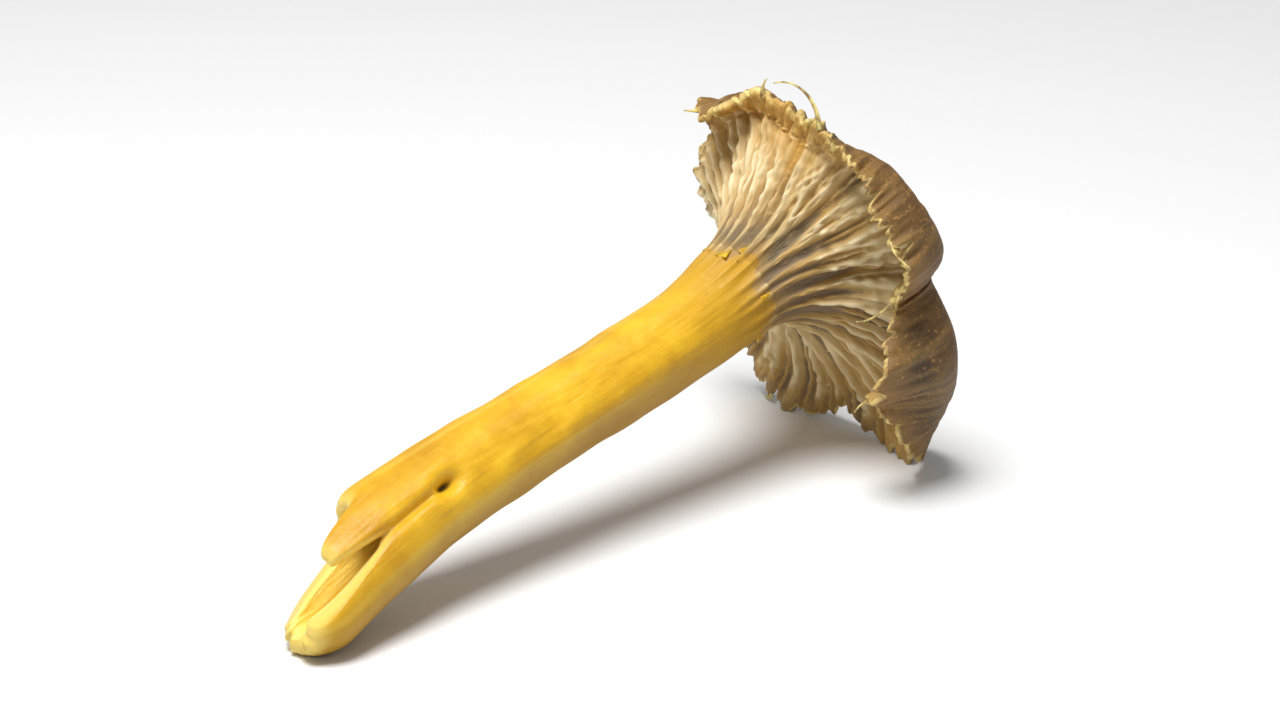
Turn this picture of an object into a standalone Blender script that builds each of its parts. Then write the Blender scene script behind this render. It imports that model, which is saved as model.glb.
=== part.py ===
"""A funnel chanterelle, picked and lying on its side.

The mushroom grew as one piece, so it is one solid: a hollow stem, torn open at its base, that widens into a
funnel-shaped cap with forking ridges on its outer face and a wavy, rolled margin. The hollow of the stem
opens into the funnel. All of it is one wall of flesh that runs round the mushroom's axis.

The outline of that wall is spun round the axis, and each point then goes to its real place by formula.
Bearings are degrees round the axis, and 0 is the side that lies down. Heights are along the axis, from the
torn base.
"""

import math

import bmesh
import bpy
import numpy as np
from mathutils import Matrix

MM = 0.001

# The stem
STEM_TOP = 57.0 * MM
STEM_RADIUS = 3.95 * MM
STEM_WAIST = 36.5 * MM
STEM_SWELL = 0.55 * MM
STEM_SWELL_SPAN = 23.0 * MM
SWELL_MOST = 1.3
STEM_FLATNESS = 0.07
FLAT_BEARING = 140
FLUTES = (3, 5)
FLUTE_DEPTH = 0.22 * MM
FLUTE_TWIST = 45
FLUTES_FADE_FROM = 0.75 * STEM_TOP
STEM_WALL = 1.5 * MM
BASE_WALL = 2.1 * MM
LIP_ROUND = 1.0 * MM
MOST_WALL_SHARE = 0.76
BASE_BEND = 2.6 * MM
BASE_BEND_HEIGHT = 22.0 * MM
BASE_BEND_BEARING = -35

# The throat, where the hollow of the stem narrows into the funnel
THROAT_HEIGHT = 55.0 * MM
THROAT_SPAN = 8.0 * MM
THROAT_WALL = 2.2 * MM

# The torn base: a scoop-shaped tongue with a fleshy tip, a shorter flap with a finger on it, and between
# them a slit that closes up to a groove and ends in a small hole
TONGUE_BEARING = 335
TONGUE_HALF_WIDTH = 72
TONGUE_SIDE = 34
TONGUE_TIP = -1.6 * MM
TONGUE_ROUND = 6.5 * MM
TIP_TAPER = 0.3
TIP_WALL = 3.5 * MM
TIP_HEIGHT = 5.5 * MM
FLAP_HEIGHT = 8.8 * MM
FINGER_HEIGHT = 3.4 * MM
FINGER_BEARING = 194
FINGER_HALF_WIDTH = 32
FINGER_BLUNTNESS = 1.6
SLIT_BEARING = 226
SLIT_HEIGHT = 9.5 * MM
SLIT_HALF_WIDTH = 17
GROOVE_TOP = 17.0 * MM
GROOVE_WIDTH = 0.5 * MM
GROOVE_DEPTH = 0.7 * MM
GROOVE_FOOT = 5.7 * MM
GROOVE_FADE = 2.5 * MM
HOLE_RADIUS = 0.8 * MM
HOLE_DEPTH = 1.6 * MM
HOLE_STRETCH = 1.67
JAGS = (7, 11, 16)
JAG = 0.3 * MM

# The cap
CAP_TILT = 4
CAP_TILT_BEARING = 140
CAP_TILT_FROM = 44.0 * MM
CAP_TILT_SPAN = 16.0 * MM
CAP_LEAN = 4
MARGIN_WALL = 0.8 * MM
MARGIN_ROUND = 0.035
THINNED_BY = 0.55
BODY_SHARE = 0.66
ROLL_SHARE = 0.62
FLARE_WAVE = 4
ROLL_WAVE = 10
BRIM_WAVE = 0.06
# Bearing, lean of the wall at the shoulder, further turn of the brim,
# length of the body and of the brim in mm
LOBES = (
    (20, 78, 55, 19.5, 6.5),
    (44, 68, 30, 18.5, 4.5),
    (64, 62, 8, 17.0, 3.5),
    (88, 57, 8, 16.0, 3.5),
    (110, 53, 20, 16.0, 3.5),
    (132, 45, 130, 15.5, 7.0),
    (160, 40, 90, 13.8, 4.5),
    (187, 42, 60, 12.0, 4.0),
    (209, 48, 95, 12.2, 6.0),
    (229, 55, 116, 13.6, 8.6),
    (254, 57, 126, 14.4, 10.0),
    (274, 59, 128, 15.0, 10.5),
    (292, 64, 142, 14.8, 15.5),
    (310, 72, 132, 16.8, 13.5),
    (329, 82, 75, 19.3, 8.0),
    (355, 74, 35, 18.0, 5.0),
)
FURROW_BEARING = 275
FURROW_WIDTH = 12.5
FURROW_DEPTH = 0.35
FURROW_FULL_AT = 0.45
FURROW_EASES_FROM = 0.55
FURROW_EASES_BY = 0.55

# The ridges on the outer face of the cap
RIDGES = 22
RIDGE_HEIGHT = 1.0 * MM
RIDGE_START = 51.0 * MM
RIDGE_HALF_WIDTH = 0.30 * MM
RIDGE_WIDENS_BY = 0.50 * MM
RIDGE_LOW = 0.30
RIDGE_FULL_AT = 0.4
RIDGE_EASES_FROM = 0.82
RIDGE_EASES_BY = 0.85
START_JITTER = 0.18
SWAY = 0.12
FORK_AT = (0.10, 0.38)
FORK_RUN = 0.28
FORK_SPREAD = (0.21, 0.28)
SEED = 7

# How it lies: turned on its side, with the cap's end raised
LIE_TIP = 76.93
LIE_ROLL = 3.14
PRESS = 0.4 * MM

COLUMNS = 176
LIP_ROWS = (0, 0.004, 0.012, 0.025)
BASE_FROM = 0.05
BASE_SHARE = 0.34
BASE_ROWS = 13
STEM_ROWS = 9
CAP_ROWS = 22
CAP_SHARE = 0.95
MARGIN_ROWS = (0.98, 0.993, 1)
FINE_STEPS = 240
TRIANGLES = 10400


def smooth(x):
    """Runs from 0 to 1 while x does, with no kink at either end."""
    x = np.clip(x, 0, 1)
    return x * x * (3 - 2 * x)


def apart(a, b):
    """How far bearing a is from bearing b, in degrees, from -180 to 180."""
    return (a - b + 180) % 360 - 180


def round_the_cap(bearings, column):
    """A column of LOBES at these bearings, on a smooth closed curve through its rows."""
    at = np.array([row[0] for row in LOBES], float)
    value = np.array([row[column] for row in LOBES], float)
    count = len(at)
    at = np.concatenate([at - 360, at, at + 360])
    value = np.tile(value, 3)
    slope = np.gradient(value, at)
    place = np.mod(bearings, 360)
    k = np.clip(np.searchsorted(at, place, side="right") - 1, count - 1, 2 * count)
    width = at[k + 1] - at[k]
    u = (place - at[k]) / width
    bend_in = slope[k] * width
    bend_out = slope[k + 1] * width
    return (
        value[k] * (2 * u**3 - 3 * u**2 + 1)
        + bend_in * (u**3 - 2 * u**2 + u)
        + value[k + 1] * (3 * u**2 - 2 * u**3)
        + bend_out * (u**3 - u**2)
    )


def waves(bearings, counts, seed):
    """A sum of waves round the axis, between about -1 and 1, with phases drawn from the seed."""
    draw = np.random.default_rng(seed)
    total = np.zeros_like(bearings, float)
    for count in counts:
        total += np.sin(np.radians(count * bearings + draw.uniform(0, 360)))
    return total / len(counts)


def stem_radius(height, bearings):
    """Radius of the stem's outer face: swollen at both ends, a little flat, fluted, with a round tip."""
    swell = ((height - STEM_WAIST) / STEM_SWELL_SPAN) ** 2
    flat = 1 + STEM_FLATNESS * np.cos(np.radians(2 * (bearings - FLAT_BEARING)))
    fade = 1 - smooth((height - FLUTES_FADE_FROM) / (STEM_TOP - FLUTES_FADE_FROM))
    flutes = FLUTE_DEPTH * fade * waves(bearings + FLUTE_TWIST * height / STEM_TOP, FLUTES, 3)
    taper = 1 - TIP_TAPER * (1 - smooth((height - TONGUE_TIP) / TIP_HEIGHT)) ** 2
    return (STEM_RADIUS + STEM_SWELL * np.clip(swell, 0, SWELL_MOST)) * flat * taper + flutes


def torn_lip(bearings):
    """Height at which the torn wall ends, at each bearing."""
    beside = np.abs(apart(bearings, TONGUE_BEARING)) - TONGUE_HALF_WIDTH
    from_edge = 1 - np.abs(apart(bearings, FINGER_BEARING)) / FINGER_HALF_WIDTH
    finger = smooth(FINGER_BLUNTNESS * from_edge)
    flap = FLAP_HEIGHT + (FINGER_HEIGHT - FLAP_HEIGHT) * finger
    slit = smooth(1 - np.abs(apart(bearings, SLIT_BEARING)) / SLIT_HALF_WIDTH)
    side = np.maximum(flap, SLIT_HEIGHT * slit)
    jag = JAG * waves(bearings, JAGS, 5)
    tongue = TONGUE_TIP + TONGUE_ROUND * np.sin(np.radians(bearings - TONGUE_BEARING) / 2) ** 4
    return tongue + (side - tongue) * smooth(beside / TONGUE_SIDE) + jag


def slit_relief(height, bearings, radius):
    """How deep the closed-up slit and the hole at its end sink into the stem."""
    off = np.radians(apart(bearings, SLIT_BEARING)) * radius
    ends = smooth((GROOVE_TOP - height) / GROOVE_FADE) * smooth((height - GROOVE_FOOT) / GROOVE_FADE)
    groove = GROOVE_DEPTH * ends * np.exp(-((off / GROOVE_WIDTH) ** 2))
    away = np.hypot(off, (height - GROOVE_TOP) / HOLE_STRETCH)
    hole = HOLE_DEPTH * np.exp(-((away / HOLE_RADIUS) ** 2))
    return np.maximum(groove, hole)


def stem_face(rows, bearings):
    """Points of the stem's outer face, from the torn lip up: distance from the axis, and height."""
    lip = torn_lip(bearings)[:, None]
    height = lip + (STEM_TOP - lip) * rows[None, :]
    radius = stem_radius(height, bearings[:, None])
    return radius, height


def cap_face(rows, bearings):
    """Points of the cap's outer face, up to the margin: distance from the axis, and height."""
    flare = round_the_cap(bearings, 1) + FLARE_WAVE * waves(bearings, (4, 7), 11)
    roll = round_the_cap(bearings, 2) + ROLL_WAVE * waves(bearings, (8, 11), 12)
    body = round_the_cap(bearings, 3) * MM
    brim = round_the_cap(bearings, 4) * MM * (1 + BRIM_WAVE * waves(bearings, (9, 13, 17), 13))
    run = np.linspace(0, 1, FINE_STEPS)[None, :]
    on_body = np.clip(run / BODY_SHARE, 0, 1)
    on_brim = np.clip((run - BODY_SHARE) / (1 - BODY_SHARE), 0, 1)
    lean = CAP_LEAN + (flare[:, None] - CAP_LEAN) * np.sin(on_body * math.pi / 2)
    lean = np.radians(lean + roll[:, None] * smooth(on_brim / ROLL_SHARE))
    pace = np.where(run < BODY_SHARE, body[:, None] / BODY_SHARE, brim[:, None] / (1 - BODY_SHARE))
    step = pace / (FINE_STEPS - 1)
    start = stem_radius(np.full_like(bearings, STEM_TOP), bearings)[:, None]
    radius = start + np.cumsum(np.sin(lean) * step, axis=1)
    height = STEM_TOP + np.cumsum(np.cos(lean) * step, axis=1)
    furrow = np.exp(-((apart(bearings, FURROW_BEARING) / FURROW_WIDTH) ** 2))[:, None]
    eased = FURROW_EASES_BY * smooth((run - FURROW_EASES_FROM) / (1 - FURROW_EASES_FROM))
    furrow = furrow * FURROW_DEPTH * smooth(run / FURROW_FULL_AT) * (1 - eased)
    radius = start + (radius - start) * (1 - furrow)
    pick = np.round(rows * (FINE_STEPS - 1)).astype(int)
    return radius[:, pick], height[:, pick]


def ridge_lines(rows):
    """Bearing of each ridge at each row of the cap. A pair shares one line up to its fork."""
    draw = np.random.default_rng(SEED)
    gap = 360 / RIDGES
    lines = []
    for number in range(RIDGES):
        start = (number + draw.uniform(-START_JITTER, START_JITTER)) * gap
        fork = draw.uniform(*FORK_AT)
        sway = draw.uniform(-SWAY, SWAY) * gap
        parted = smooth((rows - fork) / FORK_RUN)
        bow = start + sway * np.sin(rows * math.pi)
        for hand in (-1, 1):
            lines.append(bow + hand * parted * gap * draw.uniform(*FORK_SPREAD))
    return np.array(lines)


def ridge_relief(rows, bearings, radius):
    """Height of the ridges over the cap's outer face, by distance to the nearest ridge line."""
    lines = ridge_lines(rows)
    off = np.abs(apart(bearings[:, None, None], lines.T[None, :, :])).min(axis=2)
    off = np.radians(off) * radius
    half_width = RIDGE_HALF_WIDTH + RIDGE_WIDENS_BY * smooth(rows / RIDGE_EASES_FROM)
    tall = RIDGE_LOW + (1 - RIDGE_LOW) * smooth(rows / RIDGE_FULL_AT)
    tall = tall * (1 - RIDGE_EASES_BY * smooth((rows - RIDGE_EASES_FROM) / (1 - RIDGE_EASES_FROM)))
    return RIDGE_HEIGHT * tall * np.exp(-((off / half_width) ** 2))


def stem_relief(height, bearings, radius):
    """The ridges' lower ends, which run down on to the stem."""
    lines = ridge_lines(np.zeros(1))[:, 0]
    off = np.abs(apart(bearings[:, None], lines[None, :])).min(axis=1)[:, None]
    off = np.radians(off) * radius
    tall = RIDGE_LOW * smooth((height - RIDGE_START) / (STEM_TOP - RIDGE_START))
    return RIDGE_HEIGHT * tall * np.exp(-((off / RIDGE_HALF_WIDTH) ** 2))


def wall_thickness(stem_height, stem_radii, cap_rows):
    """Thickness of the flesh at each row, the stem's and then the cap's."""
    throat = np.exp(-(((stem_height - THROAT_HEIGHT) / THROAT_SPAN) ** 2))
    on_stem = STEM_WALL + (THROAT_WALL - STEM_WALL) * throat
    on_stem = on_stem + (BASE_WALL - STEM_WALL) * (1 - smooth(stem_height / STEM_TOP * 2))
    on_stem = on_stem + (TIP_WALL - BASE_WALL) * (1 - smooth((stem_height - TONGUE_TIP) / TIP_HEIGHT))
    on_stem = np.minimum(on_stem, MOST_WALL_SHARE * stem_radii)
    top = np.exp(-(((STEM_TOP - THROAT_HEIGHT) / THROAT_SPAN) ** 2))
    at_top = STEM_WALL + (THROAT_WALL - STEM_WALL) * top
    on_cap = MARGIN_WALL + (at_top - MARGIN_WALL) * (1 - smooth(cap_rows / THINNED_BY))
    return np.concatenate([on_stem, np.broadcast_to(on_cap, (len(on_stem), len(cap_rows)))], axis=1)


def round_ends(height, cap_rows):
    """How full the wall is: 1 along it, falling to 0 at the torn lip and at the margin as a round edge does."""
    lip = np.clip((height - height[:, :1]) / LIP_ROUND, 0, 1)
    margin = np.clip((1 - cap_rows) / MARGIN_ROUND, 0, 1)
    margin = np.broadcast_to(margin, (len(height), len(cap_rows)))
    toward = np.concatenate([lip, margin], axis=1)
    return np.sqrt(1 - (1 - toward) ** 2)


def normals_of(grid, bearings):
    """Unit normals of the outer face, straight out from the axis up to the stem's middle."""
    round_way = np.roll(grid, -1, axis=0) - np.roll(grid, 1, axis=0)
    up_way = np.gradient(grid, axis=1)
    normal = np.cross(round_way, up_way)
    normal = normal / np.linalg.norm(normal, axis=2, keepdims=True)
    turn = np.radians(bearings)
    out = np.stack([np.cos(turn), np.sin(turn), np.zeros_like(turn)], axis=1)[:, None, :]
    share = smooth((grid[:, :, 2:] - STEM_TOP / 2) / (STEM_TOP / 3))
    normal = out + (normal - out) * share
    return normal / np.linalg.norm(normal, axis=2, keepdims=True)


def bent(radius, bearings, height):
    """Points at these radii, bearings and heights of a straight mushroom, with the stem's bends put in."""
    turn = np.radians(bearings - CAP_TILT_BEARING)
    along = radius * np.cos(turn)
    across = radius * np.sin(turn)
    above = height - CAP_TILT_FROM
    tilt = math.radians(CAP_TILT) * smooth(above / CAP_TILT_SPAN)
    reach = along * np.cos(tilt) + above * np.sin(tilt)
    rise = CAP_TILT_FROM + above * np.cos(tilt) - along * np.sin(tilt)
    base = BASE_BEND * np.clip(1 - height / BASE_BEND_HEIGHT, 0, 1) ** 2
    way = math.radians(CAP_TILT_BEARING)
    base_way = math.radians(BASE_BEND_BEARING)
    return np.stack(
        [
            reach * math.cos(way) - across * math.sin(way) + base * math.cos(base_way),
            reach * math.sin(way) + across * math.cos(way) + base * math.sin(base_way),
            rise,
        ],
        axis=2,
    )


def standing_wall(columns, stem_rows, cap_rows):
    """The standing wall, bearings by rows, up its outer face and down its inner one."""
    bearings = np.arange(columns) * 360 / columns
    stem_r, stem_z = stem_face(stem_rows, bearings)
    cap_r, cap_z = cap_face(cap_rows, bearings)
    radius = np.concatenate([stem_r, cap_r], axis=1)
    height = np.concatenate([stem_z, cap_z], axis=1)
    grid = bent(radius, bearings[:, None], height)
    normal = normals_of(grid, bearings)
    slit = slit_relief(stem_z, bearings[:, None], stem_r)
    grid[:, : len(stem_rows)] -= normal[:, : len(stem_rows)] * slit[:, :, None]
    relief = np.concatenate(
        [stem_relief(stem_z, bearings, stem_r), ridge_relief(cap_rows, bearings, cap_r)], axis=1
    )
    thick = wall_thickness(stem_z, stem_r, cap_rows)
    full = round_ends(stem_z, cap_rows)
    outer = grid + normal * ((relief * full) - thick * (1 - full) / 2)[:, :, None]
    inner = grid - normal * (thick * (1 + full) / 2)[:, :, None]
    return np.concatenate([outer, inner[:, -2:0:-1]], axis=1)


def spun_wall(outline, columns):
    """The closed outline, radius and height pairs, spun once round the axis. Each vertex keeps its row."""
    bm = bmesh.new()
    row_of = bm.verts.layers.int.new("row")
    ring = []
    for number, (radius, height) in enumerate(outline):
        vertex = bm.verts.new((radius, 0, height))
        vertex[row_of] = number
        ring.append(vertex)
    edges = [bm.edges.new(pair) for pair in zip(ring, ring[1:] + ring[:1])]
    bmesh.ops.spin(
        bm,
        geom=ring + edges,
        axis=(0, 0, 1),
        cent=(0, 0, 0),
        steps=columns,
        angle=math.tau,
        use_merge=True,
    )
    return bm, row_of


def lying():
    """Lays the mushroom down: its axis along +X with the cap's end raised, bearing 0 underneath."""
    tip = Matrix.Rotation(math.radians(LIE_TIP), 4, "Y")
    roll = Matrix.Rotation(math.radians(LIE_ROLL), 4, "Z")
    return tip @ roll


def wall_rows():
    """Rows of points along the stem and along the cap, close together at the lip and at the margin."""
    base = np.linspace(BASE_FROM, BASE_SHARE, BASE_ROWS)[:-1]
    stem_rows = np.concatenate([LIP_ROWS, base, np.linspace(BASE_SHARE, 1, STEM_ROWS)[:-1]])
    cap_rows = np.concatenate([np.linspace(0, CAP_SHARE, CAP_ROWS), MARGIN_ROWS])
    return stem_rows, cap_rows


def coloured(name, colour, roughness):
    """A plain material of one colour, given as linear red, green and blue."""
    material = bpy.data.materials.new(name)
    material.use_nodes = True
    shader = material.node_tree.nodes["Principled BSDF"]
    shader.inputs["Base Color"].default_value = (*colour, 1)
    shader.inputs["Roughness"].default_value = roughness
    material.diffuse_color = (*colour, 1)
    return material


def wall_mesh():
    """The fine wall, spun and then shaped, laid on its side over the ground plane."""
    wall = standing_wall(COLUMNS, *wall_rows())
    outline = [(math.hypot(x, y), z) for x, y, z in wall[0]]
    bm, row_of = spun_wall(outline, COLUMNS)
    for vertex in bm.verts:
        column = round(math.degrees(math.atan2(vertex.co.y, vertex.co.x)) * COLUMNS / 360) % COLUMNS
        vertex.co = wall[column, vertex[row_of]]
    bmesh.ops.recalc_face_normals(bm, faces=bm.faces)
    bmesh.ops.transform(bm, matrix=lying(), verts=bm.verts)
    low = [min(v.co[way] for v in bm.verts) for way in range(3)]
    high = [max(v.co[way] for v in bm.verts) for way in range(3)]
    drop = (-(low[0] + high[0]) / 2, -(low[1] + high[1]) / 2, -low[2] - PRESS)
    bmesh.ops.translate(bm, vec=drop, verts=bm.verts)
    bmesh.ops.triangulate(bm, faces=bm.faces)
    mesh = bpy.data.meshes.new("fruiting_body")
    bm.to_mesh(mesh)
    bm.free()
    return mesh


def thinned(mesh):
    """The same shape with fewer triangles, which are kept where it curves most."""
    guide = bpy.data.objects.new("fine_wall", mesh)
    bpy.context.scene.collection.objects.link(guide)
    decimate = guide.modifiers.new("fewer", "DECIMATE")
    decimate.ratio = TRIANGLES / len(mesh.polygons)
    bpy.context.view_layer.update()
    result = bpy.data.meshes.new_from_object(guide.evaluated_get(bpy.context.evaluated_depsgraph_get()))
    bpy.data.objects.remove(guide)
    return result


def fruiting_body():
    """The whole mushroom as one closed solid, with the three places that it lies on pressed flat."""
    mesh = thinned(wall_mesh())
    mesh.name = "fruiting_body"
    for vertex in mesh.vertices:
        vertex.co.z = max(vertex.co.z, 0)
    mesh.materials.append(coloured("ochre_flesh", (0.42, 0.25, 0.09), 0.7))
    mesh.shade_smooth()
    body = bpy.data.objects.new("fruiting_body", mesh)
    bpy.context.scene.collection.objects.link(body)


def main():
    for old in list(bpy.data.objects):
        bpy.data.objects.remove(old)
    fruiting_body()


main()
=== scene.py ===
"""The looks of a funnel chanterelle that lies on its side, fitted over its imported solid.

The wall of flesh is built again by the same rule as the solid, with many more columns and rows, and with the
fine ridges, veins and ragged edges that the solid is too coarse for. Bearings are degrees round the
mushroom's axis, and 0 is the side that lies down. Heights are along the axis, from the torn base.
"""

import math

import bmesh
import bpy
import numpy as np
from mathutils import Matrix, Vector


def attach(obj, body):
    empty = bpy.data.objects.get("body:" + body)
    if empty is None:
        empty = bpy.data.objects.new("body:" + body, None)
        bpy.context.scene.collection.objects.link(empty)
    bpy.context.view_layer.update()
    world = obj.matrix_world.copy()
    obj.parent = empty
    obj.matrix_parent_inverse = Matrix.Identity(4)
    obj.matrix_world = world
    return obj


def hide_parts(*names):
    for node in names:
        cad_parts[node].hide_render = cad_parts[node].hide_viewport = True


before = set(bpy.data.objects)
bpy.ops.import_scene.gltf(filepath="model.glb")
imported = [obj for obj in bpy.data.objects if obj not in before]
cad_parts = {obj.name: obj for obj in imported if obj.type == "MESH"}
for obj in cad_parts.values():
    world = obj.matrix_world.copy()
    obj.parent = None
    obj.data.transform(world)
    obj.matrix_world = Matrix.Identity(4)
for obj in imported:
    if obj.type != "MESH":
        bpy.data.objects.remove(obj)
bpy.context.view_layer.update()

MM = 0.001

# The stem
STEM_TOP = 57.0 * MM
STEM_RADIUS = 3.95 * MM
STEM_WAIST = 36.5 * MM
STEM_SWELL = 0.55 * MM
STEM_SWELL_SPAN = 23.0 * MM
SWELL_MOST = 1.3
STEM_FLATNESS = 0.07
FLAT_BEARING = 140
FLUTES = (3, 5)
FLUTE_DEPTH = 0.22 * MM
FLUTE_TWIST = 45
FLUTE_SEED = 3
FLUTES_FADE_FROM = 0.75 * STEM_TOP
STEM_WALL = 1.5 * MM
BASE_WALL = 2.1 * MM
LIP_ROUND = 1.0 * MM
MOST_WALL_SHARE = 0.76
BASE_BEND = 2.6 * MM
BASE_BEND_HEIGHT = 22.0 * MM
BASE_BEND_BEARING = -35

# The throat, where the hollow of the stem narrows into the funnel
THROAT_HEIGHT = 55.0 * MM
THROAT_SPAN = 8.0 * MM
THROAT_WALL = 2.2 * MM

# The torn base: a scoop-shaped tongue with a fleshy tip, a shorter flap with a finger on it, and between
# them a slit that closes up to a groove and ends in a small hole
TONGUE_BEARING = 335
TONGUE_HALF_WIDTH = 72
TONGUE_SIDE = 34
TONGUE_TIP = -1.6 * MM
TONGUE_ROUND = 6.5 * MM
TIP_TAPER = 0.3
TIP_WALL = 3.5 * MM
TIP_HEIGHT = 5.5 * MM
FLAP_HEIGHT = 8.8 * MM
FINGER_HEIGHT = 3.4 * MM
FINGER_BEARING = 194
FINGER_HALF_WIDTH = 32
FINGER_BLUNTNESS = 1.6
SLIT_BEARING = 226
SLIT_HEIGHT = 9.5 * MM
SLIT_HALF_WIDTH = 17
GROOVE_TOP = 17.0 * MM
GROOVE_WIDTH = 0.5 * MM
GROOVE_DEPTH = 0.7 * MM
GROOVE_FOOT = 5.7 * MM
GROOVE_FADE = 2.5 * MM
HOLE_RADIUS = 0.8 * MM
HOLE_DEPTH = 1.6 * MM
HOLE_STRETCH = 1.67
JAGS = (7, 11, 16)
JAG = 0.3 * MM
JAG_SEED = 5

# The cap
CAP_TILT = 4
CAP_TILT_BEARING = 140
CAP_TILT_FROM = 44.0 * MM
CAP_TILT_SPAN = 16.0 * MM
CAP_LEAN = 4
MARGIN_WALL = 0.8 * MM
MARGIN_ROUND = 0.035
THINNED_BY = 0.55
BODY_SHARE = 0.66
ROLL_SHARE = 0.62
FLARE_WAVE = 4
ROLL_WAVE = 10
BRIM_WAVE = 0.06
# How many crests these waves have round the cap, and their seeds
FLARE_CRESTS = ((4, 7), 11)
ROLL_CRESTS = ((8, 11), 12)
BRIM_CRESTS = ((9, 13, 17), 13)
# Bearing, lean of the wall at the shoulder, further turn of the brim,
# length of the body and of the brim in mm
LEAN, TURN, BODY, BRIM = 1, 2, 3, 4
LOBES = (
    (20, 78, 55, 19.5, 6.5),
    (44, 68, 30, 18.5, 4.5),
    (64, 62, 8, 17.0, 3.5),
    (88, 57, 8, 16.0, 3.5),
    (110, 53, 20, 16.0, 3.5),
    (132, 45, 130, 15.5, 7.0),
    (160, 40, 90, 13.8, 4.5),
    (187, 42, 60, 12.0, 4.0),
    (209, 48, 95, 12.2, 6.0),
    (229, 55, 116, 13.6, 8.6),
    (254, 57, 126, 14.4, 10.0),
    (274, 59, 128, 15.0, 10.5),
    (292, 64, 142, 14.8, 15.5),
    (310, 72, 132, 16.8, 13.5),
    (329, 82, 75, 19.3, 8.0),
    (355, 74, 35, 18.0, 5.0),
)
FURROW_BEARING = 275
FURROW_WIDTH = 12.5
FURROW_DEPTH = 0.35
FURROW_FULL_AT = 0.45
FURROW_EASES_FROM = 0.55
FURROW_EASES_BY = 0.55

# The ridges on the outer face of the cap
RIDGES = 22
RIDGE_HEIGHT = 1.0 * MM
RIDGE_START = 51.0 * MM
RIDGE_HALF_WIDTH = 0.30 * MM
RIDGE_WIDENS_BY = 0.50 * MM
RIDGE_LOW = 0.30
RIDGE_FULL_AT = 0.4
RIDGE_EASES_FROM = 0.82
RIDGE_EASES_BY = 0.85
START_JITTER = 0.18
SWAY = 0.12
FORK_AT = (0.10, 0.38)
FORK_RUN = 0.28
FORK_SPREAD = (0.21, 0.28)
SEED = 7

# How it lies: turned on its side, with the cap's end raised
LIE_TIP = 76.93
LIE_ROLL = 3.14
PRESS = 0.4 * MM
SOLID_COLUMNS = 176
SOLID_LIP_ROWS = (0, 0.004, 0.012, 0.025)
SOLID_BASE_FROM = 0.05
SOLID_BASE_SHARE = 0.34
SOLID_CAP_SHARE = 0.95
SOLID_MARGIN_ROWS = (0.98, 0.993, 1)
SOLID_ROWS = (13, 9, 22)

# Kinds of short ridges: where they start, how tall they are, half width and seed
SHORT_RIDGES = ((0.18, 0.5), (0.35, 0.7), 0.30 * MM, 21)
LEAST_RIDGES = ((0.35, 0.75), (0.15, 0.4), 0.20 * MM, 22)
SHORT_RUN = 0.15
SHORT_END = 0.93

# Fine relief in patches: how many round the axis and along it, and a seed
VEINS = ((150, 30), 31)
VEIN_SHARPNESS = 5
SLANTING_VEINS = ((80, 46), 32)
SLANTING_SHARPNESS = 6
VEIN_HEIGHT = 0.13
RIDGE_NOTCHES = ((170, 24), 64)
RIDGE_NOTCH = 0.3
RIDGE_NOTCH_RUN = 0.1
BROAD_DENTS = ((9, 14), 41)
SMALL_DENTS = ((22, 20), 42)
SMALL_DENT = 0.5
DENT = 0.09 * MM
STEM_FIBRES = ((90, 22), 43)
FIBRE = 0.022 * MM
HOLE_RIM = 0.12 * MM
LONG_WRINKLES = ((110, 7), 65)
SHORT_WRINKLES = ((44, 22), 66)
LONG_WRINKLE = 0.6
SHORT_WRINKLE = 0.4
WRINKLE = 0.17 * MM
WRINKLED_FROM = 0.3

# The frayed margin: about how many crests go round the cap, depth and seed
FRAYS = ((34, 0.30 * MM, 70), (83, 0.22 * MM, 61), (170, 0.20 * MM, 62))
TEARS = ((51, 1.7 * MM, 68), (130, 1.0 * MM, 69))
TEAR_FROM = 0.62
TEAR_REACH = 0.72
FRAYED_OFF = 0.45 * MM
CRIMP = 0.3 * MM
CRIMP_FROM = 0.78
BROAD_CRIMPS = (31, 63)
FINE_CRIMPS = (74, 67)
FINE_CRIMP = 0.7
RIPPLE_SPREAD = (0.67, 0.81, 1, 1.23, 1.51)

# Where the yellow skin ends
SKIN_END = 56.0 * MM
SKIN_LOBE = 1.3 * MM
SKIN_LOBES = ((3, 5, 8), 51)
SKIN_TONGUE = 2.6 * MM
SKIN_TONGUE_BEARING = 207
SKIN_TONGUE_WIDTH = 14

# How finely the skin is made
GRAIN_RADIUS = 8 * MM
COARSE_STEM_ROWS = np.linspace(0, 1, 60)
COARSE_CAP_ROWS = np.linspace(0.01, 1, 12)
STEM_COLUMNS = 400
CAP_COLUMNS = 640
FINE_STEPS = 2400
CAP_ROWS = 94
STEM_ROWS = 150
ROUND_STEPS = 6

# The torn lip is smoothed this often within each of these distances in mm
LIP_SOFTENING = 5
LIP_SOFT_REACH = (1.2, 2.4, 3.6)
ALL_WAYS = {"use_axis_x": True, "use_axis_y": True, "use_axis_z": True}

# The side of the ridges that is stained golden
AGED_BEARING = 165
AGED_SPREAD = 48
AGED_RUN = 6.0 * MM

# Shreds that hang at the margin: bearing, length and width in mm, turn along the margin and curl in degrees
SHREDS = (
    (197, 8.0, 0.9, -48, -100),
    (208, 3.0, 1.0, 20, -60),
    (247, 3.0, 1.3, 30, 60),
    (262, 2.6, 1.5, -20, 50),
    (268, 5.0, 0.35, 50, -90),
    (160, 2.0, 0.8, -30, 70),
    (188, 2.4, 0.5, 40, 60),
    (305, 2.6, 0.6, -40, 80),
    (96, 2.6, 0.7, 30, 60),
    (20, 2.0, 0.8, 20, 50),
    (128, 1.8, 0.6, 30, -60),
)
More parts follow.
